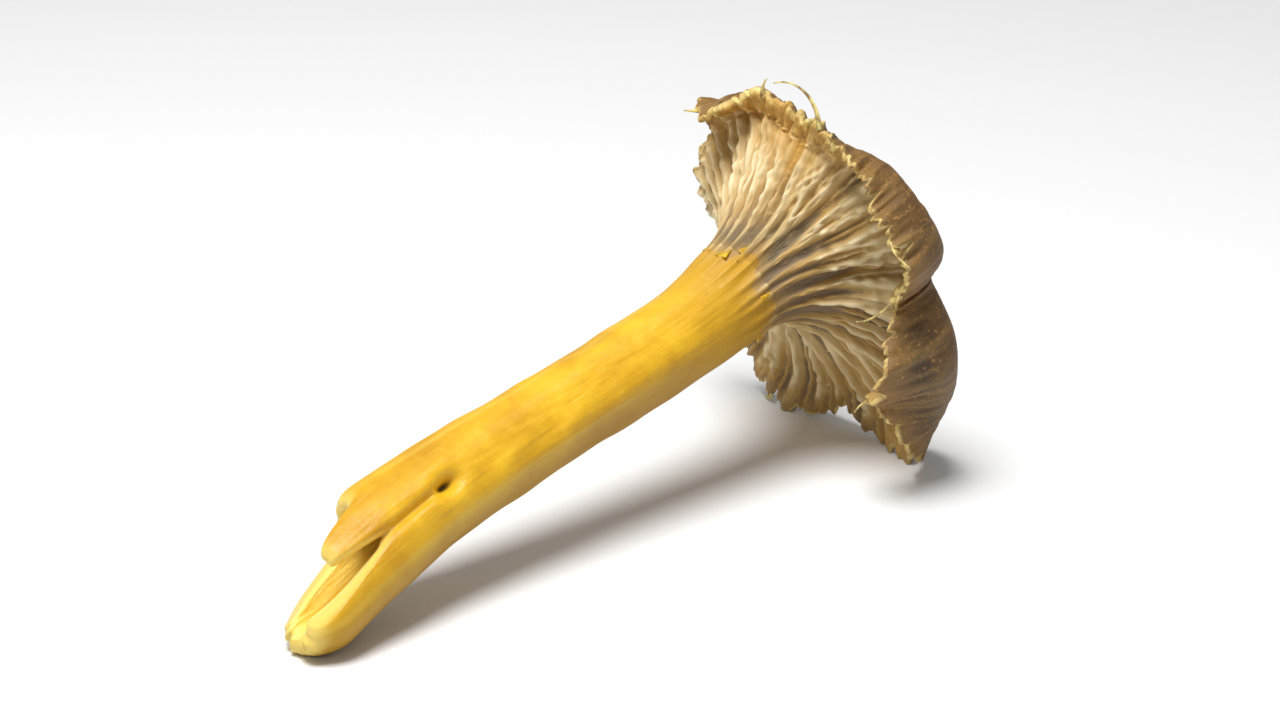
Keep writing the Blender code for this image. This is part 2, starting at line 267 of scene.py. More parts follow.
# Flakes of yellow skin that lift where the skin ends: bearing, length and width in mm, and curl in degrees
FLAKES = (
    (203, 3.0, 2.2, 26),
    (193, 1.6, 1.0, 45),
    (221, 1.9, 1.6, 22),
    (243, 1.3, 0.8, 42),
    (262, 2.1, 1.7, 24),
    (177, 2.2, 1.5, 30),
    (150, 1.4, 1.0, 40),
    (108, 2.0, 1.6, 28),
    (36, 1.6, 1.1, 38),
    (310, 2.0, 1.5, 30),
)
STRIP_STEPS = 22
STRIP_THICK = 0.16 * MM
SHRED_ROOT = 0.6 * MM
SHRED_LIFT = 0.35
FLAKE_ROOT = 0.9 * MM
FLAKE_LIFT = 1.0
# Rows of the wall that the strips grow from, and how far round a point its two ways are taken
ROOT_STEM_ROWS = np.linspace(0, 1, 200)
ROOT_CAP_ROWS = np.linspace(0.01, 1, 60)
ROWS_BACK = 3
COLUMNS_ASIDE = 2

# How light passes through flesh, and how crisp the patterns of the finishes are
FLESH_GLOW = (1.0, 0.55, 0.2)
FLESH_DEPTH = 1.2 * MM
PATTERN_CRISPNESS = 0.6

# How far a torn edge strays in mm, in coarse and in fine frays
COARSE_FRAY = 2.6
FINE_FRAY = 1.2

# The floor, the lamp and the bright room
FLOOR_SIZE = 1.5
FLOOR_PAINT = (0.82, 0.82, 0.82, 1)
LAMP_PLACE = (-0.10, -0.02, 0.46)
LAMP_TARGET = (0, 0, 0.01)
LAMP_SIZE = 0.24
LAMP_POWER = 2.7
ROOM_BRIGHTNESS = 0.33

# The camera's bearing and height over the floor, and what it looks at
CAMERA_BEARING = -43
CAMERA_RISE = 22
CAMERA_REACH = 0.297
CAMERA_TARGET = (0.0057, -0.0012, 0.0160)
CAMERA_LENS = 90
CAMERA_NEAR = 10 * MM


def smooth(x):
    """Runs from 0 to 1 while x does, with no kink at either end."""
    x = np.clip(x, 0, 1)
    return x * x * (3 - 2 * x)


def rise(x, low, high=1):
    """Runs smoothly from 0 to 1 while x goes from low to high."""
    return smooth((x - low) / (high - low))


def apart(a, b):
    """How far bearing a is from bearing b, in degrees, from -180 to 180."""
    return (a - b + 180) % 360 - 180


def round_the_cap(bearings, column):
    """A column of LOBES at these bearings, on a smooth closed curve through its rows."""
    at = np.array([row[0] for row in LOBES], float)
    value = np.array([row[column] for row in LOBES], float)
    count = len(at)
    at = np.concatenate([at - 360, at, at + 360])
    value = np.tile(value, 3)
    slope = np.gradient(value, at)
    place = np.mod(bearings, 360)
    k = np.clip(np.searchsorted(at, place, side="right") - 1, count - 1, 2 * count)
    width = at[k + 1] - at[k]
    u = (place - at[k]) / width
    bend_in = slope[k] * width
    bend_out = slope[k + 1] * width
    return (
        value[k] * (2 * u**3 - 3 * u**2 + 1)
        + bend_in * (u**3 - 2 * u**2 + u)
        + value[k + 1] * (3 * u**2 - 2 * u**3)
        + bend_out * (u**3 - u**2)
    )


def waves(bearings, counts, seed):
    """A sum of waves round the axis, between about -1 and 1, with phases drawn from the seed."""
    draw = np.random.default_rng(seed)
    total = np.zeros_like(bearings, float)
    for count in counts:
        total += np.sin(np.radians(count * bearings + draw.uniform(0, 360)))
    return total / len(counts)


def patches(shape, cells, seed):
    """A smooth random field, bearings by rows, from -1 to 1 and closed round the axis."""
    draw = np.random.default_rng(seed)
    knots = draw.uniform(-1, 1, cells)
    place = np.arange(shape[0]) * cells[0] / shape[0]
    low = place.astype(int)
    share = smooth(place - low)[:, None]
    wide = knots[low] * (1 - share) + knots[(low + 1) % cells[0]] * share
    # Just short of the last knot, which has none after it
    place = np.linspace(0, cells[1] - 1.001, shape[1])
    low = place.astype(int)
    share = smooth(place - low)
    return wide[:, low] * (1 - share) + wide[:, low + 1] * share


def stem_radius(height, bearings):
    """Radius of the stem's outer face: swollen at both ends, a little flat, fluted, with a round tip."""
    swell = ((height - STEM_WAIST) / STEM_SWELL_SPAN) ** 2
    flat = 1 + STEM_FLATNESS * np.cos(np.radians(2 * (bearings - FLAT_BEARING)))
    fade = 1 - rise(height, FLUTES_FADE_FROM, STEM_TOP)
    flutes = FLUTE_DEPTH * fade * waves(bearings + FLUTE_TWIST * height / STEM_TOP, FLUTES, FLUTE_SEED)
    taper = 1 - TIP_TAPER * (1 - smooth((height - TONGUE_TIP) / TIP_HEIGHT)) ** 2
    return (STEM_RADIUS + STEM_SWELL * np.clip(swell, 0, SWELL_MOST)) * flat * taper + flutes


def torn_lip(bearings):
    """Height at which the torn wall ends, at each bearing."""
    beside = np.abs(apart(bearings, TONGUE_BEARING)) - TONGUE_HALF_WIDTH
    from_edge = 1 - np.abs(apart(bearings, FINGER_BEARING)) / FINGER_HALF_WIDTH
    finger = smooth(FINGER_BLUNTNESS * from_edge)
    flap = FLAP_HEIGHT + (FINGER_HEIGHT - FLAP_HEIGHT) * finger
    slit = smooth(1 - np.abs(apart(bearings, SLIT_BEARING)) / SLIT_HALF_WIDTH)
    side = np.maximum(flap, SLIT_HEIGHT * slit)
    jag = JAG * waves(bearings, JAGS, JAG_SEED)
    tongue = TONGUE_TIP + TONGUE_ROUND * np.sin(np.radians(bearings - TONGUE_BEARING) / 2) ** 4
    return tongue + (side - tongue) * smooth(beside / TONGUE_SIDE) + jag


def slit_relief(height, bearings, radius):
    """How deep the closed-up slit and the hole at its end sink into the stem."""
    off = np.radians(apart(bearings, SLIT_BEARING)) * radius
    ends = smooth((GROOVE_TOP - height) / GROOVE_FADE) * smooth((height - GROOVE_FOOT) / GROOVE_FADE)
    groove = GROOVE_DEPTH * ends * np.exp(-((off / GROOVE_WIDTH) ** 2))
    away = np.hypot(off, (height - GROOVE_TOP) / HOLE_STRETCH)
    hole = HOLE_DEPTH * np.exp(-((away / HOLE_RADIUS) ** 2))
    return np.maximum(groove, hole)


def stem_face(rows, bearings):
    """Points of the stem's outer face, from the torn lip up: distance from the axis, and height."""
    lip = torn_lip(bearings)[:, None]
    height = lip + (STEM_TOP - lip) * rows[None, :]
    radius = stem_radius(height, bearings[:, None])
    return radius, height


def cap_face(rows, bearings, torn_off=0.0):
    """Points of the cap's outer face, up to the margin: distance from the axis, and height."""
    flare = round_the_cap(bearings, LEAN) + FLARE_WAVE * waves(bearings, *FLARE_CRESTS)
    roll = round_the_cap(bearings, TURN) + ROLL_WAVE * waves(bearings, *ROLL_CRESTS)
    body = round_the_cap(bearings, BODY) * MM
    brim = round_the_cap(bearings, BRIM) * MM * (1 + BRIM_WAVE * waves(bearings, *BRIM_CRESTS))
    run = np.linspace(0, 1, FINE_STEPS)[None, :]
    on_body = np.clip(run / BODY_SHARE, 0, 1)
    on_brim = np.clip((run - BODY_SHARE) / (1 - BODY_SHARE), 0, 1)
    lean = CAP_LEAN + (flare[:, None] - CAP_LEAN) * np.sin(on_body * math.pi / 2)
    lean = np.radians(lean + roll[:, None] * smooth(on_brim / ROLL_SHARE))
    pace = np.where(run < BODY_SHARE, body[:, None] / BODY_SHARE, brim[:, None] / (1 - BODY_SHARE))
    step = pace / (FINE_STEPS - 1)
    start = stem_radius(np.full_like(bearings, STEM_TOP), bearings)[:, None]
    radius = start + np.cumsum(np.sin(lean) * step, axis=1)
    height = STEM_TOP + np.cumsum(np.cos(lean) * step, axis=1)
    furrow = np.exp(-((apart(bearings, FURROW_BEARING) / FURROW_WIDTH) ** 2))[:, None]
    eased = FURROW_EASES_BY * rise(run, FURROW_EASES_FROM)
    furrow = furrow * FURROW_DEPTH * smooth(run / FURROW_FULL_AT) * (1 - eased)
    radius = start + (radius - start) * (1 - furrow)
    missing = (torn_off / brim * (1 - BODY_SHARE))[:, None] * rise(rows, TEAR_REACH)
    pick = np.round((rows - missing) * (FINE_STEPS - 1)).astype(int)
    column = np.arange(len(bearings))[:, None]
    return radius[column, pick], height[column, pick]


def ridge_lines(rows):
    """Bearing of each ridge at each row of the cap. A pair shares one line up to its fork."""
    draw = np.random.default_rng(SEED)
    gap = 360 / RIDGES
    lines = []
    for number in range(RIDGES):
        start = (number + draw.uniform(-START_JITTER, START_JITTER)) * gap
        fork = draw.uniform(*FORK_AT)
        sway = draw.uniform(-SWAY, SWAY) * gap
        parted = smooth((rows - fork) / FORK_RUN)
        bow = start + sway * np.sin(rows * math.pi)
        for hand in (-1, 1):
            lines.append(bow + hand * parted * gap * draw.uniform(*FORK_SPREAD))
    return np.array(lines)


def ridge_relief(rows, bearings, radius):
    """Height of the ridges over the cap's outer face, by distance to the nearest ridge line."""
    lines = ridge_lines(rows)
    off = np.abs(apart(bearings[:, None, None], lines.T[None, :, :])).min(axis=2)
    off = np.radians(off) * radius
    half_width = RIDGE_HALF_WIDTH + RIDGE_WIDENS_BY * smooth(rows / RIDGE_EASES_FROM)
    tall = RIDGE_LOW + (1 - RIDGE_LOW) * smooth(rows / RIDGE_FULL_AT)
    tall = tall * (1 - RIDGE_EASES_BY * rise(rows, RIDGE_EASES_FROM))
    return RIDGE_HEIGHT * tall * np.exp(-((off / half_width) ** 2))


def stem_relief(height, bearings, radius):
    """The ridges' lower ends, which run down on to the stem."""
    lines = ridge_lines(np.zeros(1))[:, 0]
    off = np.abs(apart(bearings[:, None], lines[None, :])).min(axis=1)[:, None]
    off = np.radians(off) * radius
    tall = RIDGE_LOW * rise(height, RIDGE_START, STEM_TOP)
    return RIDGE_HEIGHT * tall * np.exp(-((off / RIDGE_HALF_WIDTH) ** 2))


def wall_thickness(stem_height, stem_radii, cap_rows):
    """Thickness of the flesh at each row, the stem's and then the cap's."""
    throat = np.exp(-(((stem_height - THROAT_HEIGHT) / THROAT_SPAN) ** 2))
    on_stem = STEM_WALL + (THROAT_WALL - STEM_WALL) * throat
    on_stem = on_stem + (BASE_WALL - STEM_WALL) * (1 - smooth(stem_height / STEM_TOP * 2))
    on_stem = on_stem + (TIP_WALL - BASE_WALL) * (1 - smooth((stem_height - TONGUE_TIP) / TIP_HEIGHT))
    on_stem = np.minimum(on_stem, MOST_WALL_SHARE * stem_radii)
    top = np.exp(-(((STEM_TOP - THROAT_HEIGHT) / THROAT_SPAN) ** 2))
    at_top = STEM_WALL + (THROAT_WALL - STEM_WALL) * top
    on_cap = MARGIN_WALL + (at_top - MARGIN_WALL) * (1 - smooth(cap_rows / THINNED_BY))
    return np.concatenate([on_stem, np.broadcast_to(on_cap, (len(on_stem), len(cap_rows)))], axis=1)


def round_ends(height, cap_rows):
    """How full the wall is: 1 along it, and falling to 0 round the torn lip and the margin."""
    lip = np.clip((height - height[:, :1]) / LIP_ROUND, 0, 1)
    margin = np.clip((1 - cap_rows) / MARGIN_ROUND, 0, 1)
    margin = np.broadcast_to(margin, (len(height), len(cap_rows)))
    toward = np.concatenate([lip, margin], axis=1)
    return np.sqrt(1 - (1 - toward) ** 2)


def normals_of(grid, bearings):
    """Unit normals of the outer face, straight out from the axis up to the stem's middle."""
    round_way = np.roll(grid, -1, axis=0) - np.roll(grid, 1, axis=0)
    up_way = np.gradient(grid, axis=1)
    normal = np.cross(round_way, up_way)
    normal = normal / np.linalg.norm(normal, axis=2, keepdims=True)
    turn = np.radians(bearings)
    out = np.stack([np.cos(turn), np.sin(turn), np.zeros_like(turn)], axis=1)[:, None, :]
    share = smooth((grid[:, :, 2:] - STEM_TOP / 2) / (STEM_TOP / 3))
    normal = out + (normal - out) * share
    return normal / np.linalg.norm(normal, axis=2, keepdims=True)


def bent(radius, bearings, height):
    """Points at these radii, bearings and heights of a straight mushroom, with the stem's bends put in."""
    turn = np.radians(bearings - CAP_TILT_BEARING)
    along = radius * np.cos(turn)
    across = radius * np.sin(turn)
    above = height - CAP_TILT_FROM
    tilt = math.radians(CAP_TILT) * smooth(above / CAP_TILT_SPAN)
    reach = along * np.cos(tilt) + above * np.sin(tilt)
    rise = CAP_TILT_FROM + above * np.cos(tilt) - along * np.sin(tilt)
    base = BASE_BEND * np.clip(1 - height / BASE_BEND_HEIGHT, 0, 1) ** 2
    way = math.radians(CAP_TILT_BEARING)
    base_way = math.radians(BASE_BEND_BEARING)
    return np.stack(
        [
            reach * math.cos(way) - across * math.sin(way) + base * math.cos(base_way),
            reach * math.sin(way) + across * math.cos(way) + base * math.sin(base_way),
            rise,
        ],
        axis=2,
    )


def lines_between(lines):
    """The bearings half way between each two neighbouring lines."""
    lines = np.sort(np.mod(lines, 360), axis=0)
    following = np.concatenate([lines[1:], lines[:1] + 360])
    return (lines + following) / 2


def short_ridges(lines, rows, bearings, radius, kind):
    """Relief of ridges along these lines, each starting at a row of its own and with its own height."""
    starts, heights, half_width, seed = kind
    draw = np.random.default_rng(seed)
    from_row = draw.uniform(*starts, len(lines))[:, None]
    tall = draw.uniform(*heights, len(lines))[:, None] * smooth((rows[None, :] - from_row) / SHORT_RUN)
    off = np.abs(apart(bearings[:, None, None], lines.T[None, :, :]))
    nearest = off.argmin(axis=2)
    off = np.radians(off.min(axis=2)) * radius
    return tall[nearest, np.arange(len(rows))[None, :]] * np.exp(-((off / half_width) ** 2))


def fine_ridge_relief(rows, bearings, radius):
    """Low short ridges that start between the long ones, and shallow veins across the valleys."""
    long_lines = ridge_lines(rows)
    short_lines = lines_between(long_lines)
    least_lines = lines_between(np.concatenate([long_lines, short_lines]))
    short = short_ridges(short_lines, rows, bearings, radius, SHORT_RIDGES)
    least = short_ridges(least_lines, rows, bearings, radius, LEAST_RIDGES)
    veins = (1 - np.abs(patches(radius.shape, *VEINS))) ** VEIN_SHARPNESS
    slanting = (1 - np.abs(patches(radius.shape, *SLANTING_VEINS))) ** SLANTING_SHARPNESS
    fade = smooth(rows / SHORT_RUN) * (1 - rise(rows, SHORT_END))
    return RIDGE_HEIGHT * fade * (np.maximum(short, least) + VEIN_HEIGHT * (veins + slanting))


def stem_ripples(height, bearings):
    """The stem's dents and its raised skin round the hole."""
    shape = height.shape
    dents = DENT * (patches(shape, *BROAD_DENTS) + SMALL_DENT * patches(shape, *SMALL_DENTS))
    fibres = FIBRE * patches(shape, *STEM_FIBRES)
    off = np.radians(apart(bearings, SLIT_BEARING)) * STEM_RADIUS
    away = np.hypot(off, (height - GROOVE_TOP) / HOLE_STRETCH)
    rim = HOLE_RIM * np.exp(-(((away - 2 * HOLE_RADIUS) / HOLE_RADIUS) ** 2))
    fade = 1 - rise(height, RIDGE_START, STEM_TOP)
    return (dents + fibres + rim) * fade


def smooth_face(bearings, stem_rows, cap_rows, torn_off=0.0):
    """The outer face before any relief, its normals, and its points' distance from the axis and height."""
    stem_r, stem_z = stem_face(stem_rows, bearings)
    cap_r, cap_z = cap_face(cap_rows, bearings, torn_off)
    radius = np.concatenate([stem_r, cap_r], axis=1)
    height = np.concatenate([stem_z, cap_z], axis=1)
    grid = bent(radius, bearings[:, None], height)
    return grid, normals_of(grid, bearings), radius, height


def long_ridges(bearings, radius, height, cap_rows):
    """Relief of the long ridges, from where they start on the stem to the margin."""
    count = radius.shape[1] - len(cap_rows)
    on_stem = stem_relief(height[:, :count], bearings, radius[:, :count])
    return np.concatenate([on_stem, ridge_relief(cap_rows, bearings, radius[:, count:])], axis=1)


def both_faces(grid, normal, relief, thick, full):
    """The outer and the inner face of a wall this thick, with its relief and its round ends."""
    outer = grid + normal * (relief * full - thick * (1 - full) / 2)[:, :, None]
    inner = grid - normal * (thick * (1 + full) / 2)[:, :, None]
    return outer, inner


def bare_wall(columns, stem_rows, cap_rows):
    """The wall as the solid has it: outer and inner points, bearings by rows, of the standing mushroom."""
    bearings = np.arange(columns) * 360 / columns
    grid, normal, radius, height = smooth_face(bearings, stem_rows, cap_rows)
    stem = slice(0, len(stem_rows))
    slit = slit_relief(height[:, stem], bearings[:, None], radius[:, stem])
    grid[:, stem] -= normal[:, stem] * slit[:, :, None]
    relief = long_ridges(bearings, radius, height, cap_rows)
    thick = wall_thickness(height[:, stem], radius[:, stem], cap_rows)
    return both_faces(grid, normal, relief, thick, round_ends(height[:, stem], cap_rows))


def lying():
    """The turn that lays the mushroom down: axis along +X, the cap's end raised, bearing 0 underneath."""
    tip = Matrix.Rotation(math.radians(LIE_TIP), 3, "Y")
    roll = Matrix.Rotation(math.radians(LIE_ROLL), 3, "Z")
    return np.array(tip @ roll).T


def drop_to_floor():
    """How far the laid-down mushroom moves to stand centred over the origin, its low spots pressed flat."""
    base_count, stem_count, cap_count = SOLID_ROWS
    base = np.linspace(SOLID_BASE_FROM, SOLID_BASE_SHARE, base_count)[:-1]
    above = np.linspace(SOLID_BASE_SHARE, 1, stem_count)[:-1]
    stem_rows = np.concatenate([SOLID_LIP_ROWS, base, above])
    cap_rows = np.concatenate([np.linspace(0, SOLID_CAP_SHARE, cap_count), SOLID_MARGIN_ROWS])
    wall = np.concatenate(bare_wall(SOLID_COLUMNS, stem_rows, cap_rows), axis=1)
    points = wall.reshape(-1, 3) @ LAID
    low = points.min(axis=0)
    high = points.max(axis=0)
    return np.array([-(low[0] + high[0]) / 2, -(low[1] + high[1]) / 2, -low[2] - PRESS])


LAID = lying()
DROP = drop_to_floor()


def laid(points):
    """Standing points where they are on the lying mushroom."""
    placed = points @ LAID + DROP
    placed[..., 2] = np.maximum(placed[..., 2], 0)
    return placed


def easing(count):
    """Steps from 0 to 1 that draw a quarter circle evenly."""
    return 1 - np.cos(np.linspace(0, math.pi / 2, count))


def meshed(name, bm):
    """The finished bmesh as a mesh."""
    mesh = bpy.data.meshes.new(name)
    bm.to_mesh(mesh)
    bm.free()
    return mesh


def added(name, data):
    """A new object of this mesh, lamp or camera, in the scene."""
    obj = bpy.data.objects.new(name, data)
    bpy.context.scene.collection.objects.link(obj)
    return obj


class Skin:
    """One closed piece of the wall: its points, bearings by rows, and what its finish reads there."""

    def __init__(self, name, points, outer_rows, values, grain):
        self.name = name
        self.points = points
        self.outer_rows = outer_rows
        self.values = values
        self.grain = grain

    def spun(self):
        """The piece's outline spun once round the axis, as a mesh whose vertices know their row."""
        columns = len(self.points)
        standing = (self.points[0] - DROP) @ LAID.T
        bm = bmesh.new()
        row_of = bm.verts.layers.int.new("row")
        ring = []
        for number, (x, y, z) in enumerate(standing):
            vertex = bm.verts.new((math.hypot(x, y), 0, z))
            vertex[row_of] = number
            ring.append(vertex)
        edges = [bm.edges.new(pair) for pair in zip(ring, ring[1:] + ring[:1])]
        bmesh.ops.spin(
            bm,
            geom=ring + edges,
            axis=(0, 0, 1),
            cent=(0, 0, 0),
            steps=columns,
            angle=math.tau,
            use_merge=True,
        )
        return meshed(self.name, bm)

    def places(self, mesh):
        """The column and the row of each vertex."""
        count = len(mesh.vertices)
        at = np.empty(count * 3, np.float32)
        mesh.vertices.foreach_get("co", at)
        at = at.reshape(-1, 3)
        row = np.empty(count, np.int32)
        mesh.attributes["row"].data.foreach_get("value", row)
        columns = len(self.points)
        turn = np.degrees(np.arctan2(at[:, 1], at[:, 0])) * columns / 360
        return np.round(turn).astype(int) % columns, row

    def shaped(self):
        """The piece as an object, each vertex in its place, with its two faces in slots 0 and 1."""
        mesh = self.spun()
        column, row = self.places(mesh)
        mesh.vertices.foreach_set("co", self.points[column, row].astype(np.float32).ravel())
        self.carry(mesh, column, row)
        corners = np.empty(len(mesh.loops), np.int32)
        mesh.loops.foreach_get("vertex_index", corners)
        lowest = row[corners.reshape(-1, 4)].min(axis=1)
        mesh.polygons.foreach_set("material_index", (lowest >= self.outer_rows).astype(np.int32))
        self.mark_cut(mesh, row)
        mesh.attributes.remove(mesh.attributes["row"])
        bm = bmesh.new()
        bm.from_mesh(mesh)
        bmesh.ops.recalc_face_normals(bm, faces=bm.faces)
        self.soften_lip(bm)
        bm.to_mesh(mesh)
        bm.free()
        return added(self.name, mesh)

    def soften_lip(self, bm):
        """Rounds the torn flesh at the base, which has no hard edges."""
        from_lip = bm.verts.layers.float["from_lip"]
        for reach in LIP_SOFT_REACH:
            near = [vertex for vertex in bm.verts if vertex[from_lip] < reach]
            for _ in range(LIP_SOFTENING):
                bmesh.ops.smooth_vert(bm, verts=near, factor=0.5, **ALL_WAYS)

    def carry(self, mesh, column, row):
        """Stores with each vertex what the finishes read there."""
        for name, field in self.values.items():
            layer = mesh.attributes.new(name, "FLOAT", "POINT")
            layer.data.foreach_set("value", field[column, row].astype(np.float32))
        layer = mesh.attributes.new("grain", "FLOAT_VECTOR", "POINT")
        layer.data.foreach_set("vector", self.grain[column, row].astype(np.float32).ravel())

    def mark_cut(self, mesh, row):
        """Keeps the hidden cut between stem and cap from softening the shading of the faces next to it."""
        ends = np.empty(len(mesh.edges) * 2, np.int32)
        mesh.edges.foreach_get("vertices", ends)
        ends = row[ends.reshape(-1, 2)]
        for cut_row in self.cut_rows():
            sharp = (ends == cut_row).all(axis=1)
            for edge in np.nonzero(sharp)[0]:
                mesh.edges[int(edge)].use_edge_sharp = True

    def cut_rows(self):
        """The rows where the stem and the cap meet: one on the outer face and one on the inner."""
        rows = self.points.shape[1]
        if self.name == "stem":
            return self.outer_rows - 1, self.outer_rows
        return 0, rows - 1


def skin_end(bearings):
    """Height at which the yellow skin ends, in lobes."""
    tongue = np.exp(-((apart(bearings, SKIN_TONGUE_BEARING) / SKIN_TONGUE_WIDTH) ** 2))
    return SKIN_END + SKIN_LOBE * waves(bearings, *SKIN_LOBES) + SKIN_TONGUE * tongue


def aged(bearings, height):
    """How golden-stained the ridges are: most on the side that faces up, from the stem's top outward."""
    side = np.exp(-((apart(bearings, AGED_BEARING) / AGED_SPREAD) ** 2))[:, None]
    return side * smooth((height - STEM_TOP) / AGED_RUN)


def ripples(bearings, about, seed):
    """An uneven wave round the axis with about this many crests, from about -1 to 1."""
    return 2 * waves(bearings, [round(about * share) for share in RIPPLE_SPREAD], seed)


def torn_margin(bearings):
    """How much of the cap is missing at the margin: finely frayed, with some deeper tears."""
    total = np.full_like(bearings, FRAYED_OFF, float)
    for about, depth, seed in FRAYS:
        total += depth * ripples(bearings, about, seed)
    for about, depth, seed in TEARS:
        total += depth * np.clip(ripples(bearings, about, seed) - TEAR_FROM, 0, 1)
    return np.maximum(total, 0)


def fine_relief(bearings, radius, height, cap_rows):
    """The long ridges' relief with notches in it, and the short ridges and veins between them."""
    ridges = long_ridges(bearings, radius, height, cap_rows)
    cap = slice(radius.shape[1] - len(cap_rows), None)
    shape = radius[:, cap].shape
    notches = 1 + RIDGE_NOTCH * patches(shape, *RIDGE_NOTCHES) * smooth(cap_rows / RIDGE_NOTCH_RUN)
    fine = fine_ridge_relief(cap_rows, bearings, radius[:, cap])
    ridges[:, cap] = np.maximum(ridges[:, cap], fine) * notches
    return ridges


def upper_wrinkles(shape, cap_rows):
    """How much the cap's upper face is wrinkled, which makes the wall thicker or thinner."""
    long = LONG_WRINKLE * patches(shape, *LONG_WRINKLES)
    wrinkles = long + SHORT_WRINKLE * patches(shape, *SHORT_WRINKLES)
    fade = smooth(cap_rows / WRINKLED_FROM) * (1 - rise(cap_rows, CRIMP_FROM))
    return WRINKLE * wrinkles * fade


def finish_values(bearings, grid, normal, height, ridges, slit, stem_count):
    """What the finishes read at each point of a face, and the points to lay patterns along the grain on."""
    steps = np.linalg.norm(np.diff(grid, axis=1), axis=2)
    along = np.concatenate([np.zeros((len(grid), 1)), np.cumsum(steps, axis=1)], axis=1)
    from_top = along[:, stem_count:] - along[:, stem_count - 1 : stem_count]
    flat = np.concatenate([height[:, :stem_count], STEM_TOP + from_top], axis=1)
    turn = np.broadcast_to(np.radians(bearings)[:, None], flat.shape)
    grain = np.stack([GRAIN_RADIUS * np.cos(turn), GRAIN_RADIUS * np.sin(turn), flat], axis=2)
    # Painted shade for the slit's groove and its hole: how deep they sink, from 0 to 1
    pit_shade = np.zeros_like(flat)
    pit_shade[:, :stem_count] = slit / HOLE_DEPTH
    values = {
        "crest": ridges / RIDGE_HEIGHT,
        "pit_shade": pit_shade,
        "to_margin": (along[:, -1:] - along) / MM,
        "from_lip": along / MM,
        "past_skin": (flat - skin_end(bearings)[:, None]) / MM,
        "height": flat / MM,
        "aged": aged(bearings, flat),
        # Painted shade: how far the face turns downward on the lying mushroom, which darkens the stem's lower
        # side
        "shade_below": np.clip(0.5 - (normal @ LAID)[:, :, 2] / 2, 0, 1),
    }
    return values, grain


def whole_wall(columns, stem_rows, cap_rows):
    """Fine outer and inner faces of the whole wall, and what the finishes read there."""
    bearings = np.arange(columns) * 360 / columns
    grid, normal, radius, height = smooth_face(bearings, stem_rows, cap_rows, torn_margin(bearings))
    stem = slice(0, len(stem_rows))
    cap = slice(len(stem_rows), None)
    slit = slit_relief(height[:, stem], bearings[:, None], radius[:, stem])
    ripple = stem_ripples(height[:, stem], bearings[:, None])
    grid[:, stem] += normal[:, stem] * (ripple - slit)[:, :, None]
    crimp = CRIMP * (ripples(bearings, *BROAD_CRIMPS) + FINE_CRIMP * ripples(bearings, *FINE_CRIMPS))
    crimp = crimp[:, None] * rise(cap_rows, CRIMP_FROM)
    grid[:, cap] += normal[:, cap] * crimp[:, :, None]
    ridges = fine_relief(bearings, radius, height, cap_rows)
    thick = wall_thickness(height[:, stem], radius[:, stem], cap_rows)
    full = round_ends(height[:, stem], cap_rows)
    outer, _ = both_faces(grid, normal, ridges, thick, full)
    thick[:, cap] += upper_wrinkles(radius[:, cap].shape, cap_rows)
    _, inner = both_faces(grid, normal, ridges, thick, full)
    values, grain = finish_values(bearings, grid, normal, height, ridges, slit, len(stem_rows))
    return laid(outer), laid(inner), values, grain


def skin_of(name, columns, stem_rows, cap_rows, keep):
    """One closed piece of the wall: the rows to keep, up its outer face and back down its inner one."""
    outer, inner, values, grain = whole_wall(columns, stem_rows, cap_rows)
    # Every other row is enough for the inner face, and the row at the lip or the margin is shared
    down = np.unique(np.append(keep[::-2], keep[0]))[::-1]
    shared = 0 if name == "stem" else keep[-1]
    down = down[down != shared]
    points = np.concatenate([outer[:, keep], inner[:, down]], axis=1)
    rows = np.concatenate([keep, down])
    values = {key: field[:, rows] for key, field in values.items()}
    # No ridges on the inner face
    values["crest"][:, len(keep) :] = 0
    return Skin(name, points, len(keep), values, grain[:, rows]).shaped()


def stem_piece():
    """The stem, from its torn base up to where the cap starts."""
    lip = easing(ROUND_STEPS) * LIP_ROUND / STEM_TOP
    stem_rows = np.concatenate([lip[:-1], np.linspace(lip[-1], 1, STEM_ROWS)])
    return skin_of("stem", STEM_COLUMNS, stem_rows, COARSE_CAP_ROWS, np.arange(len(stem_rows)))


def cap_piece():
    """The cap, from the stem's top to its margin and back down inside the funnel."""
    margin = 1 - MARGIN_ROUND * easing(ROUND_STEPS)[::-1][1:]
    cap_rows = np.concatenate([np.linspace(0, 1 - MARGIN_ROUND, CAP_ROWS)[1:], margin])
    keep = np.arange(-1, len(cap_rows)) + len(COARSE_STEM_ROWS)
    return skin_of("cap", CAP_COLUMNS, COARSE_STEM_ROWS, cap_rows, keep)


def strip(name, place, heading, off, size, curl, lift):
    """A torn strip of this length and width that narrows to a point, curling by lift about its own width."""
    length, width = size
    across = heading.cross(off).normalized()
    bm = bmesh.new()
    ends = [bm.verts.new(place + across * side * width * MM / 2) for side in (-1, 1)]
    front = [bm.edges.new(ends)]
    bend = Matrix.Rotation(math.radians(curl / STRIP_STEPS), 3, off * (1 - lift) + across * lift)
    for left in range(STRIP_STEPS, 0, -1):
        grown = bmesh.ops.extrude_edge_only(bm, edges=front)["geom"]
        ends = [item for item in grown if isinstance(item, bmesh.types.BMVert)]
        front = [item for item in grown if isinstance(item, bmesh.types.BMEdge)]
        heading = (bend @ heading).normalized()
        bmesh.ops.translate(bm, verts=ends, vec=heading * length * MM / STRIP_STEPS)
        middle = Matrix.Translation((ends[0].co + ends[1].co) / 2)
        narrower = Matrix.Scale(1 - 1 / (left + 0.5), 4)
        bmesh.ops.transform(bm, matrix=middle @ narrower @ middle.inverted(), verts=ends)
    bmesh.ops.solidify(bm, geom=bm.verts[:] + bm.edges[:] + bm.faces[:], thickness=STRIP_THICK)
    bmesh.ops.recalc_face_normals(bm, faces=bm.faces)
    return added(name, meshed(name, bm))


